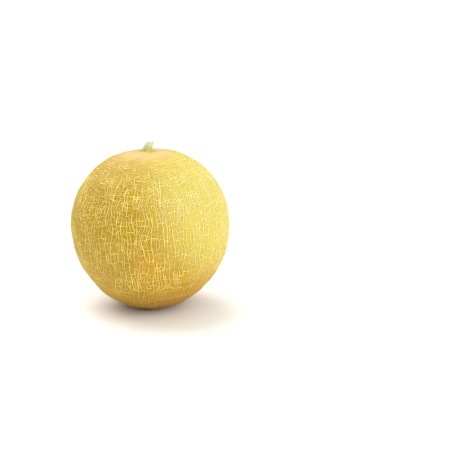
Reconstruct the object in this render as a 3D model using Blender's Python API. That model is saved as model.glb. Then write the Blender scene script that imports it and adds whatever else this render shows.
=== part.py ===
"""A whole netted melon with the cut stub of its stem, standing on the small flat spot below it.

Metres, +Z up. The origin is at the middle of the flat spot. The fruit's growth axis bows from upright at
the flat spot to a slight lean at the stem end, where the stub grows out of a shallow round seat.
"""

from math import asin, cos, exp, pi, radians, sin

import bmesh
import bpy
from mathutils import Matrix, Vector

# The fruit: a ball drawn out along its axis, and broader at the shoulder than below.
MEAN_RADIUS = 0.0757
STRETCH = 0.0203
TAPER = 0.019
LEAN = radians(2.6)
FLAT_SPOT_RADIUS = 0.0145

# Faint bulges round the waist.
BULGES = 3
BULGE_SHARE = 0.003
BULGE_PHASE = radians(40)

# The dimple at the stem end, and the round seat sunk into its middle.
DIMPLE_DEPTH = 0.0026
DIMPLE_ANGLE = radians(17)
SEAT_RADIUS = 0.0078
SEAT_DEPTH = 0.0015

# The stub of the stem, from its flared foot to the slanting cut.
STUB_HEIGHT = 0.0092
STUB_RADIUS = 0.0040
FLARE = 0.0030
FLARE_HEIGHT = 0.0028
STUB_DRIFT = 0.0040
RIBS = 5
RIB_SHARE = 0.07
CUT_SLOPE = 0.16

TOUCHING_GAP = 0.0003

FRUIT_SIDES = 72
FRUIT_RINGS = 32
STUB_SIDES = 30
STUB_RINGS = 9
HARD_EDGE = radians(40)

RIND_COLOUR = (0.72, 0.48, 0.12, 1.0)
RIND_ROUGHNESS = 0.55
STEM_COLOUR = (0.47, 0.46, 0.13, 1.0)
STEM_ROUGHNESS = 0.75


def clear_scene():
    for obj in list(bpy.data.objects):
        bpy.data.objects.remove(obj, do_unlink=True)


def make_material(name, colour, roughness):
    material = bpy.data.materials.new(name)
    material.use_nodes = True
    shader = material.node_tree.nodes["Principled BSDF"]
    shader.inputs["Base Color"].default_value = colour
    shader.inputs["Roughness"].default_value = roughness
    shader.inputs["Metallic"].default_value = 0.0
    return material


def fruit_radius(angle):
    """How far the rind is from the fruit's middle, at an angle from the stem end of the growth axis."""
    along = cos(angle)
    stretch = STRETCH * (3 * along**2 - 1) / 2
    taper = TAPER * (5 * along**3 - 3 * along) / 2
    dimple = DIMPLE_DEPTH * exp(-((angle / DIMPLE_ANGLE) ** 2))
    return MEAN_RADIUS * (1 + stretch - taper) - dimple


def angle_at(reach, pole):
    """The angle at which the rind is this far from the growth axis, near the pole at angle 0 or pi."""
    return abs(pole - asin(reach / fruit_radius(pole)))


def ring_frame(angle):
    """Lifts a ring built about the fruit's middle to its height, and tips it by its share of the lean."""
    spot = angle_at(FLAT_SPOT_RADIUS, pi)
    middle_height = -fruit_radius(spot) * cos(spot)
    share = (cos(angle) - cos(spot)) / (1 - cos(spot))
    return Matrix.Translation((0.0, 0.0, middle_height)) @ Matrix.Rotation(-LEAN * share, 4, "Y")


def ring(radius, height, sides):
    """Points on a circle about the Z axis."""
    turns = [2 * pi * side / sides for side in range(sides)]
    return [Vector((radius * cos(turn), radius * sin(turn), height)) for turn in turns]


def fruit_ring(angle):
    """The ring of the rind at an angle from the stem end, with its share of the bulges."""
    points = ring(fruit_radius(angle) * sin(angle), fruit_radius(angle) * cos(angle), FRUIT_SIDES)
    for side, point in enumerate(points):
        turn = 2 * pi * side / FRUIT_SIDES
        point.xy *= 1 + BULGE_SHARE * sin(angle) ** 2 * cos(BULGES * turn + BULGE_PHASE)
    return [ring_frame(angle) @ point for point in points]


def stub_ring(share):
    """The ribbed ring at a share of the stub's height. The rings tip more and more towards the cut."""
    height = STUB_HEIGHT * share
    points = ring(STUB_RADIUS + FLARE * exp(-height / FLARE_HEIGHT), height, STUB_SIDES)
    for side, point in enumerate(points):
        turn = 2 * pi * side / STUB_SIDES
        point.xy *= 1 + RIB_SHARE * share * cos(RIBS * turn)
        point.z += CUT_SLOPE * share * point.x
        point.x += STUB_DRIFT * share
    return points


def closed_skin(rings):
    """A mesh whose skin runs over these rings, from the top one to the bottom one, capped at both."""
    mesh = bmesh.new()
    rows = [[mesh.verts.new(point) for point in points] for points in rings]
    for upper, lower in zip(rows, rows[1:]):
        for side, corner in enumerate(upper):
            beside = (side + 1) % len(upper)
            mesh.faces.new((corner, lower[side], lower[beside], upper[beside]))
    mesh.faces.new(rows[0])
    mesh.faces.new(reversed(rows[-1]))
    return mesh


def make_object(name, mesh, material):
    data = bpy.data.meshes.new(name)
    mesh.to_mesh(data)
    mesh.free()
    data.shade_smooth()
    data.set_sharp_from_angle(angle=HARD_EDGE)
    data.materials.append(material)
    obj = bpy.data.objects.new(name, data)
    bpy.context.scene.collection.objects.link(obj)
    return obj


def seat_floor():
    """The height of the seat's floor over the fruit's middle, along the growth axis."""
    edge = angle_at(SEAT_RADIUS, 0.0)
    return fruit_radius(edge) * cos(edge) - SEAT_DEPTH


def make_fruit():
    seat_edge = angle_at(SEAT_RADIUS, 0.0)
    spot = angle_at(FLAT_SPOT_RADIUS, pi)
    step = (spot - seat_edge) / (FRUIT_RINGS - 1)
    floor = [ring_frame(seat_edge) @ point for point in ring(SEAT_RADIUS, seat_floor(), FRUIT_SIDES)]
    rings = [floor] + [fruit_ring(seat_edge + step * number) for number in range(FRUIT_RINGS)]
    return make_object("melon_fruit", closed_skin(rings), make_material("rind", RIND_COLOUR, RIND_ROUGHNESS))


def make_stub():
    """The stub, standing in the seat with a gap round it, so that the two solids don't meet."""
    seated = ring_frame(0.0) @ Matrix.Translation((0.0, 0.0, seat_floor() + TOUCHING_GAP))
    shares = [1 - number / (STUB_RINGS - 1) for number in range(STUB_RINGS)]
    rings = [[seated @ point for point in stub_ring(share)] for share in shares]
    return make_object("stem_stub", closed_skin(rings), make_material("stem", STEM_COLOUR, STEM_ROUGHNESS))


clear_scene()
make_fruit()
make_stub()
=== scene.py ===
"""The looks of a whole netted melon: the rind with its raised corky net, and the cut stub of the stem.

Metres, +Z up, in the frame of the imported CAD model. The rind is one fine mesh on the CAD fruit's shape.
Its net is made as the real one is, by cracks: main ones run down the fruit, rungs cross the lanes
between them, and later ones split the cells that these leave. Angles are measured from the stem.
"""

from collections import namedtuple
from math import cos, pi, radians, sin, sqrt

import bpy
import numpy as np
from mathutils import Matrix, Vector


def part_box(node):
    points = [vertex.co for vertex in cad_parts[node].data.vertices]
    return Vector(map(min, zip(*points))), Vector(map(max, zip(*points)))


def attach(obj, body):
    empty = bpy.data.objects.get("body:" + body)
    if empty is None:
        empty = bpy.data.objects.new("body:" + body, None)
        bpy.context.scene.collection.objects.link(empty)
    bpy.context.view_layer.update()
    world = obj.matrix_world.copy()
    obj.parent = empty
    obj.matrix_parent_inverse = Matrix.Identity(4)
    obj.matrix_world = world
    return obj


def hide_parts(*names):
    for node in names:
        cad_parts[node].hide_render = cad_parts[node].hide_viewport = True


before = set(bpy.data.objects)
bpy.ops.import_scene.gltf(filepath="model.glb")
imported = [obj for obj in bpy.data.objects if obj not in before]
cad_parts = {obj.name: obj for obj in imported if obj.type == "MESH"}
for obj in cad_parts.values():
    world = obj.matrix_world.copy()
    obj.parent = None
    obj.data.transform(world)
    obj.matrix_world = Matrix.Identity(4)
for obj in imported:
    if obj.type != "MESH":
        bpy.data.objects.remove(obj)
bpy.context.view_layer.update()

MM = 0.001

# Smooth noise: how strong it is, how long its waves are, its seed, and how many waves it is the sum of.
# The waves' own lengths are between these multiples of its length.
USUAL_COUNT = 28
Noise = namedtuple("Noise", "amount length seed count", defaults=(USUAL_COUNT,))
LENGTH_RANGE = (0.7, 1.5)


def unit(vectors):
    return vectors / np.linalg.norm(vectors, axis=1, keepdims=True)


def waves(points, noise):
    """Smooth noise as a sum of plane waves in random directions."""
    random = np.random.default_rng(noise.seed)
    headings = unit(random.normal(size=(noise.count, 3)))
    lengths = noise.length * random.uniform(*LENGTH_RANGE, noise.count)
    phases = random.uniform(0.0, 2 * pi, noise.count)
    steps = points @ (headings * (2 * pi / lengths)[:, None]).T
    return noise.amount * sqrt(2 / noise.count) * np.sin(steps + phases).sum(axis=1)


def wander(points, noise):
    """A smooth noise vector for each point."""
    parts = [noise._replace(seed=noise.seed + axis) for axis in range(3)]
    return np.stack([waves(points, part) for part in parts], axis=1)


def smooth_step(low, high, values):
    """0 below low and 1 above high, with a smooth step between. Low may be the higher of the two."""
    share = np.clip((values - low) / (high - low), 0.0, 1.0)
    return share * share * (3.0 - 2.0 * share)


def by_angle(angle, table):
    """A value that changes down the fruit, from a table of degrees from the stem and values."""
    return np.interp(np.degrees(angle), *zip(*table))


# ------------------------------------------------------------------ the fruit's shape

# Shares of the mean radius, angles, and the number of bulges round the waist, all as in the CAD fruit.
STRETCH = 0.0203
TAPER = 0.019
LEAN = radians(2.6)
FLAT_SPOT = 0.1915
DIMPLE = 0.0343
DIMPLE_ANGLE = radians(17)
BULGES = 3
BULGE_SHARE = 0.003
BULGE_PHASE = radians(40)

# The rind is a cube's six grids of cells, rounded. In the UV map for baking each grid has a tile of its
# own, inset by this share of it.
RIND_CELLS = 400
ATLAS_COLUMNS = 3
ATLAS_ROWS = 2
ATLAS_INSET = 0.01
WAIST_STEPS = 720


def cube_ball(cells):
    """A ball made from a cube: unit directions, quads, and each quad corner's place in the UV map."""
    sides = np.array((((1, 0, 0), (0, 1, 0)), ((0, 1, 0), (-1, 0, 0)), ((-1, 0, 0), (0, -1, 0)),
                      ((0, -1, 0), (1, 0, 0)), ((0, 0, 1), (1, 0, 0)), ((0, 0, -1), (1, 0, 0))))
    down, across = (grid.ravel() for grid in np.indices((cells + 1, cells + 1)))
    first = (np.arange(cells)[:, None] * (cells + 1) + np.arange(cells)).ravel()
    quad = np.stack([first, first + 1, first + cells + 2, first + cells + 1], axis=1)
    place = np.stack([across, down], axis=1) / cells * (1 - 2 * ATLAS_INSET) + ATLAS_INSET
    points, quads, places = [], [], []
    for number, (out, along) in enumerate(sides):
        up = np.cross(out, along)
        flat = np.outer(2 * across - cells, along) + np.outer(2 * down - cells, up)
        points.append(out * cells + flat)
        quads.append(quad + number * len(place))
        row, column = divmod(number, ATLAS_COLUMNS)
        places.append((place + (column, row)) / (ATLAS_COLUMNS, ATLAS_ROWS))
    shared, index = np.unique(np.concatenate(points), axis=0, return_inverse=True)
    quads = np.concatenate(quads)
    # The tangent makes the cells on the ball about the same size.
    directions = unit(np.tan(shared / cells * (pi / 4)))
    return directions, index.reshape(-1)[quads], np.concatenate(places)[quads]


def fruit_reach(along):
    """How far the rind is from the fruit's middle, in mean radii, by the cosine of the angle.

    The stretch and the taper are the second and third Legendre polynomials of that cosine.
    """
    angle = np.arccos(np.clip(along, -1, 1))
    stretch = STRETCH * (3 * along**2 - 1) / 2
    taper = TAPER * (5 * along**3 - 3 * along) / 2
    return 1 + stretch - taper - DIMPLE * np.exp(-((angle / DIMPLE_ANGLE) ** 2))


def placed(upright, along):
    """Tips points by a share of the lean that grows from the flat spot up, and lifts them into place."""
    spot = -sqrt(1 - (FLAT_SPOT / fruit_reach(-1.0)) ** 2)
    tip = -LEAN * (along - spot) / (1 - spot)
    x = upright[:, 0] * np.cos(tip) + upright[:, 2] * np.sin(tip)
    z = upright[:, 2] * np.cos(tip) - upright[:, 0] * np.sin(tip)
    return np.stack([x, upright[:, 1], z - fruit_reach(spot) * spot], axis=1)


def fruit_surface(directions, radius):
    """Points on the bare rind of a fruit of this mean radius."""
    along = directions[:, 2]
    upright = directions * fruit_reach(along)[:, None]
    turn = np.arctan2(directions[:, 1], directions[:, 0])
    bulge = BULGE_SHARE * (1 - along**2) * np.cos(BULGES * turn + BULGE_PHASE)
    upright[:, :2] *= (1 + bulge)[:, None]
    return placed(upright, along) * radius


def mean_radius():
    """The mean radius that gives the CAD fruit's width."""
    low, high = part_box("melon_fruit")
    turns = np.linspace(0, 2 * pi, WAIST_STEPS + 1)
    waist = fruit_surface(np.stack([np.cos(turns), np.sin(turns), 0 * turns], axis=1), 1.0)
    return (high[0] - low[0]) / np.ptp(waist[:, 0])


# ------------------------------------------------------------------ random numbers

# What the random numbers of the net's lanes, rungs and cells are for.
END, SHIFT, SLOPE, PLACE, MISSING, SHAPE, SIZE, MIDDLE, TILT, TONE = range(1, 11)

# Keys are mixed up with these, and the bits that are left after the drop make a number below the range.
HASH_START = np.uint64(0x9E3779B97F4A7C15)
HASH_FACTOR = np.uint64(0xBF58476D1CE4E5B9)
HASH_SHIFT = np.uint64(29)
HASH_DROP = np.uint64(11)
HASH_RANGE = 2.0**53


def chance(*keys):
    """A random number from 0 to 1 for each whole-number key or set of keys, the same on every run."""
    mixed_up = HASH_START
    for key in keys:
        mixed_up = (mixed_up ^ np.asarray(key).astype(np.uint64)) * HASH_FACTOR
        mixed_up = mixed_up ^ (mixed_up >> HASH_SHIFT)
    return (mixed_up >> HASH_DROP) / HASH_RANGE


def draw(span, *keys):
    """A random number between the ends of the span."""
    low, high = span
    return low + (high - low) * chance(*keys)


# ------------------------------------------------------------------ the cracks of the net

# A lane is the strip between two main cracks, which wander by this share of it.
LANE = 5.4 * MM
LANE_WANDER = 0.26
LANE_WIGGLES = (Noise(1.0, 34 * MM, 300, count=10), Noise(0.07, 7 * MM, 301, count=8))

# The lanes narrow towards the poles, so main cracks end there, where the fruit is this share as wide
# as at its waist. In each group of four, two end early, one ends late and one goes on to the pole.
LANE_GROUP = 4
EARLY_END = 0.78
LATE_END = 0.55
NO_END = -1.0
END_STRAY = (-0.1, 0.1)

# A rung is a crack across a lane. A step is the usual distance from one rung to the next, by degrees
# from the stem.
STEPS = ((0, 2.4 * MM), (40, 3.0 * MM), (60, 5.2 * MM), (80, 9.0 * MM), (115, 9.0 * MM), (150, 5.0 * MM))
CLIMB_POINTS = 1000

# A rung strays from its place by up to this share of a step, and on its way across the lane it slopes by
# up to half of these steps, by degrees from the stem. Of every second rung this share is missing. The
# others are all there, so that no cell is much more than two steps tall.
RUNG_STRAY = (-0.35, 0.35)
RUNG_SLOPES = ((0, 1.5), (48, 1.3), (70, 0.5))
MISSING_RUNGS = 0.45

# The rungs that may be next to a point, counted from the step it is in, and more rungs than a lane has.
NEARBY_RUNGS = np.arange(-3, 5)
MOST_RUNGS = 4096

# A cell splits across its longer side while that is longer than this, by degrees from the stem. Its
# height is the longer side if it is more than TALLNESS times its width. Both limits change from cell to
# cell, by factors from these ranges.
SMALLEST_CELL = ((0, 3.4 * MM), (50, 3.0 * MM), (80, 3.8 * MM), (120, 3.6 * MM), (150, 3.2 * MM))
SIZE_RANGE = (0.75, 1.65)
TALLNESS = ((0, 0.4), (38, 0.45), (58, 1.2), (75, 2.3), (120, 2.3), (150, 1.2))
TALLNESS_RANGE = (0.55, 1.45)

# Where a split is between the two sides of its cell, and how much it tilts, in shares of the cell.
SPLIT_PLACE = (0.35, 0.65)
SPLIT_TILT = (-0.35, 0.35)

# Each generation of cracks, from the main ones to the last splits: half the width and the height of its
# ridges, how well they cover the skin, and the degrees from the stem where they start and are full.
Cracks = namedtuple("Cracks", "half_width height cover start")
GENERATIONS = (
    Cracks(0.44 * MM, 0.46 * MM, 1.2, (30, 54)),
    Cracks(0.36 * MM, 0.34 * MM, 1.1, (14, 30)),
    Cracks(0.37 * MM, 0.36 * MM, 1.0, (15, 32)),
    Cracks(0.33 * MM, 0.26 * MM, 0.9, (16, 34)),
    Cracks(0.30 * MM, 0.20 * MM, 0.8, (18, 36)),
)
SPLITS = len(GENERATIONS) - 2


def between(value, marks, there):
    """The row and place of the mark below each value, and the place of the one above, of those there."""
    below = np.where(there & (marks <= value), marks, -np.inf)
    above = np.where(there & (marks > value), marks, np.inf)
    return below.argmax(axis=0), below.max(axis=0), above.min(axis=0)


def lanes(angle, turn, radius):
    """Which lane each point is in, its share of the way across, and the lane's width in metres."""
    count = LANE_GROUP * round(2 * pi * radius / (LANE_GROUP * LANE))
    place = (turn / (2 * pi) + 0.5) * count
    lines = np.floor(place).astype(int) + np.arange(-LANE_GROUP - 1, LANE_GROUP + 2)[:, None]
    number = lines % count
    # The noise is read a metre apart for neighbouring cracks, so each wiggles in its own way.
    down = np.broadcast_to(angle * radius, lines.shape)
    track = np.stack([down, number, 0 * number], axis=-1).reshape(-1, 3)
    wiggle = sum(waves(track, noise) for noise in LANE_WIGGLES).reshape(lines.shape)
    marks = lines + LANE_WANDER * wiggle
    rank = number % LANE_GROUP
    end = np.where(rank % 2 == 1, EARLY_END, np.where(rank > 0, LATE_END, NO_END))
    there = np.sin(angle) > end + draw(END_STRAY, number, END)
    which, left, right = between(place, marks, there)
    lane = np.take_along_axis(number, which[None], axis=0)[0]
    across = (place - left) / (right - left)
    return lane, across, (right - left) * 2 * pi * radius * np.sin(angle) / count


def rungs(lane, angle, across, radius):
    """Which rung each point is below, its share of the way to the next, and how far apart they are."""
    climb = np.linspace(0, pi, CLIMB_POINTS)
    step = by_angle(climb, STEPS)
    here = np.interp(angle, climb, np.cumsum(radius * climb[1] / step)) + chance(lane, SHIFT)
    lines = np.floor(here).astype(int) + NEARBY_RUNGS[:, None]
    slope = by_angle(angle, RUNG_SLOPES) * (chance(lane, lines, SLOPE) - 0.5)
    marks = lines + draw(RUNG_STRAY, lane, lines, PLACE) + slope * (across - 0.5)
    there = (lines % 2 == 0) | (chance(lane, lines, MISSING) > MISSING_RUNGS)
    which, top, bottom = between(here, marks, there)
    rung = np.take_along_axis(lines, which[None], axis=0)[0]
    return rung, (here - top) / (bottom - top), (bottom - top) * np.interp(angle, climb, step)


def edge_distance(share, size):
    """The distance in metres to the nearer side of a cell, from the share of the way over it."""
    return np.minimum(share, 1 - share) * size


def cracks(directions, radius):
    """The distance to each generation's nearest crack, and a number for the cell each point is in."""
    angle, turn = np.arccos(directions[:, 2]), np.arctan2(directions[:, 1], directions[:, 0])
    lane, across, width = lanes(angle, turn, radius)
    rung, down, height = rungs(lane, angle, across, radius)
    distances = [edge_distance(across, width), edge_distance(down, height)]
    cell = lane * MOST_RUNGS + rung
    tallness, smallest = by_angle(angle, TALLNESS), by_angle(angle, SMALLEST_CELL)
    for split in range(SPLITS):
        # A cell's halves lie side by side if it is wide, and one below the other if it is tall.
        side_by_side = width * tallness * draw(TALLNESS_RANGE, cell, split, SHAPE) > height
        long = np.where(side_by_side, width, height)
        splits = long > smallest * draw(SIZE_RANGE, cell, split, SIZE)
        share, other = np.where(side_by_side, (across, down), (down, across))
        tilt = draw(SPLIT_TILT, cell, split, TILT)
        line = draw(SPLIT_PLACE, cell, split, MIDDLE) + tilt * (other - 0.5)
        distances.append(np.where(splits, np.abs(share - line) * long, np.inf))
        beyond = splits & (share > line)
        part = np.where(splits, np.where(beyond, 1 - line, line), 1.0)
        share = (share - np.where(beyond, line, 0.0)) / part
        across, width = np.where(side_by_side, (share, width * part), (across, width))
        down, height = np.where(side_by_side, (down, height), (share, height * part))
        cell = cell * 2 + beyond
    return distances, cell


# ------------------------------------------------------------------ the ridges of the net

# How far the cracks stray from their lines, by degrees from the stem, and the waves they stray in.
STRAYS = ((40, 0.95 * MM), (75, 0.52 * MM))
BROAD_STRAY = Noise(1.0, 14 * MM, 100)
FINE_STRAY = Noise(0.07 * MM, 4.5 * MM, 110)

# The net starts at ragged edges round the stem, and fades towards the underside.
RAGGED_EDGE = Noise(radians(3), 12 * MM, 120)
FADE = 0.5
FADE_ANGLES = (radians(118), radians(150))

# A ridge's strength changes along it. Weak ridges are low and thin, and all of them swell and thin.
UNEVEN = Noise(0.22, 16 * MM, 150)
MOST_STRENGTH = 1.2
THINNEST = 0.25
THICKEST = 1.1
SWELLS = (Noise(0.2, 7 * MM, 130), Noise(0.1, 2.5 * MM, 140))
SWELL_RANGE = (0.6, 1.5)

# Cork covers the skin fully from this share of a ridge's height up. The rim of painted shade on the skin
# beside a ridge reaches this many times as far from the crack as the ridge does.
COVERED = 0.55
RIM_REACH = 2.4

# Faint broken rings on the smooth skin round the stem. Ways round the stem count for a small share in
# their noise, which draws the rings out.
RINGS = Noise(1.0, 2.2 * MM, 160)
RING_SQUEEZE = 0.15
RING_CRESTS = (0.5, 1.6)
RING_START = (radians(7), radians(12))
RING_END = (radians(36), radians(24))
RING_COVER = 0.6
RING_HEIGHT = 0.12 * MM


def faint_rings(home, angle, radius):
    """How well the rings cover the skin, from 0 to 1."""
    squeezed = np.stack([angle * radius, RING_SQUEEZE * home[:, 0], RING_SQUEEZE * home[:, 1]], axis=1)
    crests = smooth_step(*RING_CRESTS, waves(squeezed, RINGS))
    return RING_COVER * crests * smooth_step(*RING_START, angle) * smooth_step(*RING_END, angle)


def net(directions, radius):
    """The net's height in metres, its cover, its rims' strength, and a random number for each cell."""
    home = directions * radius
    angle = np.arccos(directions[:, 2])
    stray = by_angle(angle, STRAYS)[:, None] * wander(home, BROAD_STRAY) + wander(home, FINE_STRAY)
    distances, cell = cracks(unit(home + stray), radius)
    ragged = angle + waves(home, RAGGED_EDGE)
    fading = 1 - FADE * smooth_step(*FADE_ANGLES, ragged)
    swell = np.clip(1 + sum(waves(home, noise) for noise in SWELLS), *SWELL_RANGE)
    rings = faint_rings(home, angle, radius)
    height, bare, rim = RING_HEIGHT * rings, 1 - rings, np.zeros(len(home))
    for number, (distance, crack) in enumerate(zip(distances, GENERATIONS)):
        uneven = 1 + waves(home, UNEVEN._replace(seed=UNEVEN.seed + number))
        vigour = fading * smooth_step(*np.radians(crack.start), ragged)
        strength = np.clip(vigour * uneven, 0, MOST_STRENGTH)
        reach = crack.half_width * swell * np.clip(strength + THINNEST, 0, THICKEST)
        ridge = np.clip(1 - (distance / reach) ** 2, 0, 1)
        height = np.maximum(height, crack.height * strength * ridge)
        bare *= 1 - np.clip(strength * crack.cover, 0, 1) * smooth_step(0, COVERED, ridge)
        # Painted shade: a rim of darker skin beside each ridge.
        rim = np.maximum(rim, strength * smooth_step(RIM_REACH, 1.0, distance / reach))
    return height, 1 - bare, rim, chance(cell, TONE)


# ------------------------------------------------------------------ the rind

# The bare skin lies a little inside the CAD fruit. It has faint hollows, and the net has a corky grain.
SINK = 0.15 * MM
HOLLOWS = (Noise(0.15 * MM, 26 * MM, 180), Noise(0.05 * MM, 8 * MM, 181))
CORK_GRAIN = Noise(0.05 * MM, 1.6 * MM, 170)

# The rind rises in a low collar round the foot of the stem.
COLLAR = 0.5 * MM
COLLAR_RADIUS = 7.0 * MM
COLLAR_WIDTH = 2.6 * MM

# The scar of the blossom is a shallow corky disc in the middle of the underside.
SCAR_DEPTH = 0.35 * MM
SCAR_EDGE = (radians(174.0), radians(175.5))


def make_mesh(name, points, faces):
    """A new smooth object. All its faces have the same number of corners."""
    mesh = bpy.data.meshes.new(name)
    mesh.vertices.add(len(points))
    mesh.vertices.foreach_set("co", np.ravel(points).astype(np.float32))
    mesh.loops.add(faces.size)
    mesh.loops.foreach_set("vertex_index", np.ravel(faces).astype(np.int32))
    mesh.polygons.add(len(faces))
    mesh.polygons.foreach_set("loop_start", np.arange(0, faces.size, faces.shape[1], dtype=np.int32))
    mesh.update(calc_edges=True)
    mesh.validate()
    mesh.shade_smooth()
    piece = bpy.data.objects.new(name, mesh)
    bpy.context.scene.collection.objects.link(piece)
    return piece


def add_field(mesh, name, values):
    """Gives each point of the mesh a number that its material can read."""
    numbers = mesh.attributes.new(name, "FLOAT", "POINT")
    numbers.data.foreach_set("value", values.astype(np.float32))


def make_rind():
    """The bare skin with its net, its collar round the stem and the scar underneath, as one mesh."""
    directions, quads, places = cube_ball(RIND_CELLS)
    radius = mean_radius()
    bare = fruit_surface(directions, radius)
    height, cover, rim, tone = net(directions, radius)
    angle = np.arccos(directions[:, 2])
    height += cover * waves(bare, CORK_GRAIN) + sum(waves(bare, noise) for noise in HOLLOWS)
    height += COLLAR * np.exp(-(((radius * angle - COLLAR_RADIUS) / COLLAR_WIDTH) ** 2))
    points = bare + directions * (height - SINK)[:, None]
    points[:, 2] = np.maximum(points[:, 2], 0.0) + SCAR_DEPTH * smooth_step(*SCAR_EDGE, angle)
    rind = make_mesh("rind", points, quads)
    layer = rind.data.uv_layers.new(name="OFBake")
    layer.data.foreach_set("uv", np.ravel(places).astype(np.float32))
    add_field(rind.data, "net", cover)
    # The rims carry painted shade beside the ridges.
    add_field(rind.data, "rim", rim)
    add_field(rind.data, "patch", tone)
    add_field(rind.data, "angle", angle)
    return rind


# ------------------------------------------------------------------ the stub of the stem

# The CAD stub has the same sizes, but plainer ribs, no twist and no fibres, and a flat cut.
STUB_HEIGHT = 9.2 * MM
STUB_RADIUS = 4.0 * MM
FLARE = 3.0 * MM
FLARE_HEIGHT = 2.8 * MM
STUB_DRIFT = 4.0 * MM
CUT_SLOPE = 0.16
STUB_TWIST = 0.35

# Ribs round the stub: how many, their height as a share of the radius, and their phase.
RIBS = ((5, 0.075, 0.0), (10, 0.03, 1.0), (3, 0.02, 2.0))

# Heights count for a small share in the noise of the fibres, which draws them out along the stub.
FIBRES = Noise(0.06 * MM, 0.9 * MM, 200)
FIBRE_SQUEEZE = 0.12

# The cut is dished inside its rim, with a hole in its pith and a low ring of bundles. The edges and the
# ring's place and width are shares of the way from its middle to its rim.
DISH = 0.5 * MM
DISH_EDGE = (1.0, 0.75)
PITH_HOLE = 0.9 * MM
PITH_EDGE = (0.28, 0.12)
BUNDLES = 0.12 * MM
BUNDLES_PLACE = 0.68
BUNDLES_WIDTH = 0.08

STUB_SIDES = 160
STUB_RINGS = 90
CUT_RINGS = 26


def stub_radius(heights, turns):
    """The radius at each height over the foot and each turn round the stub."""
    twisted = turns + STUB_TWIST * heights / STUB_HEIGHT
    ribs = sum(share * np.cos(count * twisted + phase) for count, share, phase in RIBS)
    x, y = STUB_RADIUS * np.cos(twisted), STUB_RADIUS * np.sin(twisted)
    squeezed = np.stack([x, y, FIBRE_SQUEEZE * heights], axis=-1).reshape(-1, 3)
    fibres = waves(squeezed, FIBRES).reshape(heights.shape)
    return (STUB_RADIUS + FLARE * np.exp(-heights / FLARE_HEIGHT)) * (1 + ribs) + fibres


def cut_height(share):
    """The cut's height over the stub's foot, at a share of the way from its middle to its rim."""
    dish = DISH * smooth_step(*DISH_EDGE, share)
    pith = PITH_HOLE * smooth_step(*PITH_EDGE, share)
    bundles = BUNDLES * np.exp(-(((share - BUNDLES_PLACE) / BUNDLES_WIDTH) ** 2))
    return STUB_HEIGHT - dish - pith + bundles


def stub_foot():
    """The middle of the foot. The foot is the stub's widest part, and the drift is all towards +X."""
    low, high = (Vector(corner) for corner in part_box("stem_stub"))
    reach = (high.y - low.y) / 2
    return Vector((low.x + reach, low.y + reach, low.z + reach * sin(LEAN)))


def make_stem():
    """Rings up the side of the stub, and then in over the cut."""
    side = STUB_HEIGHT * np.linspace(0, 1, STUB_RINGS)
    inward = np.linspace(1, 0, CUT_RINGS + 1)[1:]
    around = np.linspace(0, 2 * pi, STUB_SIDES, endpoint=False)
    turns, heights = np.meshgrid(around, np.concatenate([side, cut_height(inward)]))
    radius = stub_radius(heights[:STUB_RINGS], turns[:STUB_RINGS])
    radius = np.concatenate([radius, inward[:, None] * radius[-1]])
    share = heights / STUB_HEIGHT
    x, y = radius * np.cos(turns), radius * np.sin(turns)
    z = heights + CUT_SLOPE * share * x
    x = x + STUB_DRIFT * share
    leaning = np.stack([x * cos(LEAN) - z * sin(LEAN), y, z * cos(LEAN) + x * sin(LEAN)], axis=-1)
    rings = np.arange(share.size).reshape(share.shape)
    beside = np.roll(rings, -1, axis=1)
    quads = np.stack([rings[:-1], beside[:-1], beside[1:], rings[1:]], axis=-1).reshape(-1, 4)
    stem = make_mesh("stem", leaning.reshape(-1, 3) + stub_foot(), quads)
    on_cut = np.arange(len(heights)) >= STUB_RINGS - 1
    add_field(stem.data, "cut", np.repeat(on_cut, STUB_SIDES))
    add_field(stem.data, "share", share.ravel())
    return stem


# ------------------------------------------------------------------ shader nodes

GAMMA = 2.2
USUAL_DETAIL = 3.0

# The Mix node's sockets for its factor, its two colours and its resulting colour.
MIX_SHARE, MIX_FIRST, MIX_SECOND, MIX_RESULT = 0, 6, 7, 2


def srgb(red, green, blue):
    """A colour given as a screen shows it, from 0 to 255, as Blender's linear one."""
    return tuple((value / 255) ** GAMMA for value in (red, green, blue)) + (1.0,)


def new_material(name):
    material = bpy.data.materials.new(name)
    material.use_nodes = True
    return material, material.node_tree, material.node_tree.nodes["Principled BSDF"]


def node(tree, kind, inputs=(), **settings):
    """A new shader node. An input is a socket's name or number, and a value or another node's output."""
    made = tree.nodes.new(kind)
    for name, value in settings.items():
        setattr(made, name, value)
    for socket, value in dict(inputs).items():
        if isinstance(value, bpy.types.NodeSocket):
            tree.links.new(value, made.inputs[socket])
        else:
            made.inputs[socket].default_value = value
    return made


def mixed(tree, share, first, second):
    """The first colour where the share is 0, and the second where it is 1."""
    inputs = {MIX_SHARE: share, MIX_FIRST: first, MIX_SECOND: second}
    return node(tree, "ShaderNodeMix", inputs, data_type="RGBA").outputs[MIX_RESULT]


def field(tree, name):
    """The number that add_field gave each point under this name."""
    return node(tree, "ShaderNodeAttribute", attribute_name=name).outputs["Fac"]


def noise_field(tree, place, scale, detail=USUAL_DETAIL):
    """Blotches from 0 to 1, of this many to the metre."""
    inputs = {"Vector": place, "Scale": scale, "Detail": detail}
    return node(tree, "ShaderNodeTexNoise", inputs).outputs["Fac"]


def stepped(tree, value, low, high):
    """0 below low and 1 above high, with a smooth step between. Low may be the higher of the two."""
    inputs = {"Value": value, "From Min": low, "From Max": high}
    return node(tree, "ShaderNodeMapRange", inputs, interpolation_type="SMOOTHSTEP").outputs["Result"]


def ranged(tree, value, low, high, top=1.0):
    """Low where the value is 0, high where it is top or more, and evenly between."""
    inputs = {"Value": value, "From Max": top, "To Min": low, "To Max": high}
    return node(tree, "ShaderNodeMapRange", inputs).outputs["Result"]


def calculated(tree, operation, first, second):
    return node(tree, "ShaderNodeMath", {0: first, 1: second}, operation=operation).outputs["Value"]


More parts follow.
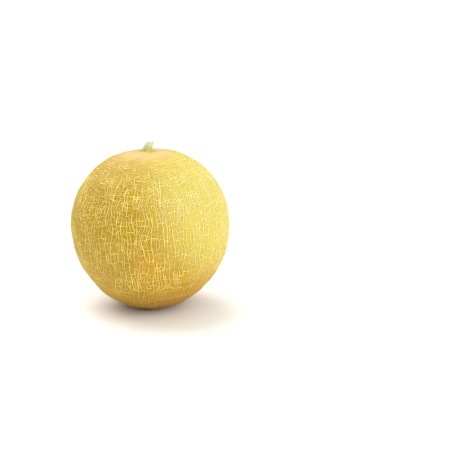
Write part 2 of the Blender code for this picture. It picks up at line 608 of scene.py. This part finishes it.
def along_axis(tree, place, axis):
    """How far each place lies along an axis, times the axis's length."""
    made = node(tree, "ShaderNodeVectorMath", {0: place, 1: axis}, operation="DOT_PRODUCT")
    return made.outputs["Value"]


def bumps(tree, height, strength, distance):
    inputs = {"Height": height, "Strength": strength, "Distance": distance}
    return node(tree, "ShaderNodeBump", inputs).outputs["Normal"]


# ------------------------------------------------------------------ the rind's material

GOLD = srgb(179, 143, 16)
OLIVE = srgb(170, 140, 8)
ORANGE = srgb(202, 145, 12)
# Painted shade: the darker, more orange skin towards the underside.
UNDERSIDE_SHADE = srgb(156, 113, 8)
# Painted light: the pale lemon skin of the lit side.
PAINTED_LIGHT_SKIN = srgb(204, 189, 70)
PEACH = srgb(197, 170, 104)
COLLAR_GREEN = srgb(176, 168, 64)
SHADE = srgb(138, 102, 14)
CREAM = srgb(230, 204, 110)
TAN = srgb(214, 180, 98)
# Painted light: the pale cork of the lit side.
PAINTED_LIGHT_CORK = srgb(228, 214, 140)
# Painted shade: the darker cork towards the underside.
UNDERSIDE_CORK_SHADE = srgb(200, 156, 46)
SCAR = srgb(156, 124, 76)
SCAR_DARK = srgb(120, 90, 52)

# Painted light: the skin and cork grow paler and more lemon towards +X, the front and up, where the right
# lamp shines. The skin is warmer low down towards +X and the front. Each cell has a tone of its own. Each
# pair of numbers is where a colour starts and where it is full.
PAINTED_LIGHT_SIDE = (0.8, -0.4, 0.4)
PAINTED_LIGHT_EDGE = (59 * MM, 104 * MM)
WARM_SIDE = (2.2, -1.4, -3.4)
WARM_EDGE = (0.36, 0.64)
WARM_SCALE = 26.0
TONE_EDGE = (0.2, 0.9)
# Painted shade darkens the skin and cork towards the underside between these angles.
UNDERSIDE_SHADE_ANGLES = (radians(112), radians(165))
PEACH_EDGE = (radians(32), radians(12))
COLLAR_EDGE = (radians(8), radians(4))
RIM_SHADE = 0.5

CORK_SCALE = 60.0
CORK_EDGE = (0.4, 0.65)
SCAR_SCALE = 450.0
SCAR_MOTTLE = (0.35, 0.65)

SKIN_ROUGHNESS = 0.42
CORK_ROUGHNESS = 0.85
RIND_GLOSS = 0.25
PORE_SCALE = 900.0
PORE_DETAIL = 4.0
PORE_STRENGTH = 0.25
PORE_DEPTH = 0.3 * MM


def skin_colour(tree, place, painted_light, underside_shade):
    angle, tone = field(tree, "angle"), stepped(tree, field(tree, "patch"), *TONE_EDGE)
    drift, warm_side = noise_field(tree, place, WARM_SCALE), along_axis(tree, place, WARM_SIDE)
    warm = stepped(tree, calculated(tree, "ADD", drift, warm_side), *WARM_EDGE)
    skin = mixed(tree, warm, mixed(tree, tone, GOLD, OLIVE), mixed(tree, tone, ORANGE, GOLD))
    # Painted light: the skin turns paler and more lemon on the lit side.
    skin = mixed(tree, painted_light, skin, PAINTED_LIGHT_SKIN)
    # Painted shade: darker skin towards the underside.
    skin = mixed(tree, underside_shade, skin, UNDERSIDE_SHADE)
    skin = mixed(tree, stepped(tree, angle, *PEACH_EDGE), skin, PEACH)
    skin = mixed(tree, stepped(tree, angle, *COLLAR_EDGE), skin, COLLAR_GREEN)
    # Painted shade: the skin darkens in the rims beside the ridges.
    return mixed(tree, calculated(tree, "MULTIPLY", field(tree, "rim"), RIM_SHADE), skin, SHADE)


def cork_colour(tree, place, painted_light, underside_shade):
    cork = mixed(tree, stepped(tree, noise_field(tree, place, CORK_SCALE), *CORK_EDGE), CREAM, TAN)
    # Painted light: the cork turns paler on the lit side.
    cork = mixed(tree, painted_light, cork, PAINTED_LIGHT_CORK)
    # Painted shade: darker cork towards the underside.
    return mixed(tree, underside_shade, cork, UNDERSIDE_CORK_SHADE)


def scar_colour(tree, place):
    mottle = stepped(tree, noise_field(tree, place, SCAR_SCALE), *SCAR_MOTTLE)
    return mixed(tree, mottle, SCAR, SCAR_DARK)


def rind_material():
    """Skin, with cork where the net covers it, and the scar underneath."""
    material, tree, shader = new_material("rind")
    place = node(tree, "ShaderNodeTexCoord").outputs["Object"]
    cover, angle = field(tree, "net"), field(tree, "angle")
    # Painted light: how far each place lies towards the side the right lamp lights.
    painted_light = stepped(tree, along_axis(tree, place, PAINTED_LIGHT_SIDE), *PAINTED_LIGHT_EDGE)
    # Painted shade: how far each place is towards the underside.
    underside_shade = stepped(tree, angle, *UNDERSIDE_SHADE_ANGLES)
    skin, cork = skin_colour(tree, place, painted_light, underside_shade), cork_colour(tree, place, painted_light, underside_shade)
    colour = mixed(tree, cover, skin, cork)
    colour = mixed(tree, stepped(tree, angle, *SCAR_EDGE), colour, scar_colour(tree, place))
    roughness = ranged(tree, cover, SKIN_ROUGHNESS, CORK_ROUGHNESS)
    pores = noise_field(tree, place, PORE_SCALE, PORE_DETAIL)
    tree.links.new(colour, shader.inputs["Base Color"])
    tree.links.new(roughness, shader.inputs["Roughness"])
    tree.links.new(bumps(tree, pores, PORE_STRENGTH, PORE_DEPTH), shader.inputs["Normal"])
    shader.inputs["Specular IOR Level"].default_value = RIND_GLOSS
    return material


# ------------------------------------------------------------------ the stem's material

STEM_GREEN = srgb(150, 146, 44)
STEM_PALE = srgb(196, 192, 104)
STEM_TOP = srgb(204, 208, 172)
CUT_GREY = srgb(188, 196, 164)
PITH = srgb(140, 136, 100)

# Streaks run along the stub. Painted light makes it paler towards +X, where the right lamp shines. It is
# paler towards the cut too, which is grey and mottled.
STREAK_SCALE = 700.0
STREAK_SQUEEZE = (1.0, 1.0, 0.15)
STREAK_EDGE = (0.35, 0.65)
STREAK_STRENGTH = 0.3
STREAK_DEPTH = 0.2 * MM
PAINTED_LIGHT_STEM_SIDE = (-7 * MM, 5 * MM)
PALE_TOP = (0.3, 0.95)
CUT_SCALE = 500.0
CUT_MOTTLE = (0.45, 0.7)
STEM_ROUGHNESS = 0.8


def stem_material():
    material, tree, shader = new_material("stem")
    place = node(tree, "ShaderNodeTexCoord").outputs["Object"]
    inputs = {"Vector": place, "Scale": STREAK_SQUEEZE}
    squeezed = node(tree, "ShaderNodeMapping", inputs).outputs["Vector"]
    streaks = stepped(tree, noise_field(tree, squeezed, STREAK_SCALE), *STREAK_EDGE)
    side = node(tree, "ShaderNodeSeparateXYZ", {"Vector": place}).outputs["X"]
    bark = mixed(tree, streaks, STEM_GREEN, STEM_PALE)
    # Painted light: paler towards +X, where the right lamp shines.
    bark = mixed(tree, stepped(tree, side, *PAINTED_LIGHT_STEM_SIDE), bark, STEM_PALE)
    bark = mixed(tree, stepped(tree, field(tree, "share"), *PALE_TOP), bark, STEM_TOP)
    mottle = stepped(tree, noise_field(tree, place, CUT_SCALE), *CUT_MOTTLE)
    colour = mixed(tree, field(tree, "cut"), bark, mixed(tree, mottle, CUT_GREY, PITH))
    tree.links.new(colour, shader.inputs["Base Color"])
    tree.links.new(bumps(tree, streaks, STREAK_STRENGTH, STREAK_DEPTH), shader.inputs["Normal"])
    shader.inputs["Roughness"].default_value = STEM_ROUGHNESS
    return material


# ------------------------------------------------------------------ the stage

FLOOR_REACH = 40.0
FLOOR_COLOUR = (0.88, 0.87, 0.85, 1.0)
FLOOR_ROUGHNESS = 0.7

# The sky as a light: its strength at the horizon and overhead, and how high the second begins, as the
# sine of the elevation. The last strength is what the camera sees.
SKY_LOW = 0.12
SKY_HIGH = 0.96
SKY_FULL = 0.45
SKY_SEEN = 1.1
WHITE = (1.0, 1.0, 1.0, 1.0)

# Each soft light's name, the direction it comes from, its strength, and how wide it is in the sky.
SUNS = (
    ("top", (-0.42, 0.42, 1.0), 2.1, radians(58)),
    ("right", (0.9, -0.55, 0.55), 1.56, radians(56)),
)

# The camera looks along +Y and down, at a point to the right of the melon's middle.
LENS = 85.0
CAMERA_DOWN = radians(15)
CAMERA_DISTANCE = 1.018
AIM = Vector((72.0 * MM, 0.0, 1.9 * MM))


def floor_material():
    material, _, shader = new_material("floor")
    shader.inputs["Base Color"].default_value = FLOOR_COLOUR
    shader.inputs["Roughness"].default_value = FLOOR_ROUGHNESS
    return material


def make_floor():
    corners = FLOOR_REACH * np.array([[-1, -1, 0], [1, -1, 0], [1, 1, 0], [-1, 1, 0]])
    return make_mesh("floor", corners, np.array([[0, 1, 2, 3]]))


def add_sun(name, place, strength, spread):
    data = bpy.data.lights.new(name, "SUN")
    data.energy = strength
    data.angle = spread
    lamp = bpy.data.objects.new(name, data)
    lamp.rotation_euler = Vector(place).to_track_quat("Z", "Y").to_euler()
    bpy.context.scene.collection.objects.link(lamp)


def light_world():
    """White to the camera. As a light it is weaker, most of all near the horizon."""
    world = bpy.data.worlds.new("white")
    world.use_nodes = True
    tree = world.node_tree
    seen = node(tree, "ShaderNodeLightPath").outputs["Is Camera Ray"]
    sky = node(tree, "ShaderNodeTexCoord").outputs["Generated"]
    up = node(tree, "ShaderNodeSeparateXYZ", {"Vector": sky}).outputs["Z"]
    fill = ranged(tree, up, SKY_LOW, SKY_HIGH, top=SKY_FULL)
    tree.links.new(ranged(tree, seen, fill, SKY_SEEN), tree.nodes["Background"].inputs["Strength"])
    tree.nodes["Background"].inputs["Color"].default_value = WHITE
    bpy.context.scene.world = world


def light_stage():
    light_world()
    bpy.context.scene.view_settings.view_transform = "Standard"
    for sun in SUNS:
        add_sun(*sun)


def add_camera():
    data = bpy.data.cameras.new("camera")
    data.lens = LENS
    camera = bpy.data.objects.new("camera", data)
    low, high = (Vector(corner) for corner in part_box("melon_fruit"))
    back = Vector((0.0, -cos(CAMERA_DOWN), sin(CAMERA_DOWN)))
    camera.location = (low + high) / 2 + AIM + CAMERA_DISTANCE * back
    camera.rotation_euler = (pi / 2 - CAMERA_DOWN, 0.0, 0.0)
    bpy.context.scene.collection.objects.link(camera)
    bpy.context.scene.camera = camera


rind = make_rind()
rind.data.materials.append(rind_material())
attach(rind, "root")
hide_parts("melon_fruit")

stem = make_stem()
stem.data.materials.append(stem_material())
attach(stem, "root")
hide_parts("stem_stub")

floor = make_floor()
floor.data.materials.append(floor_material())
light_stage()
add_camera()
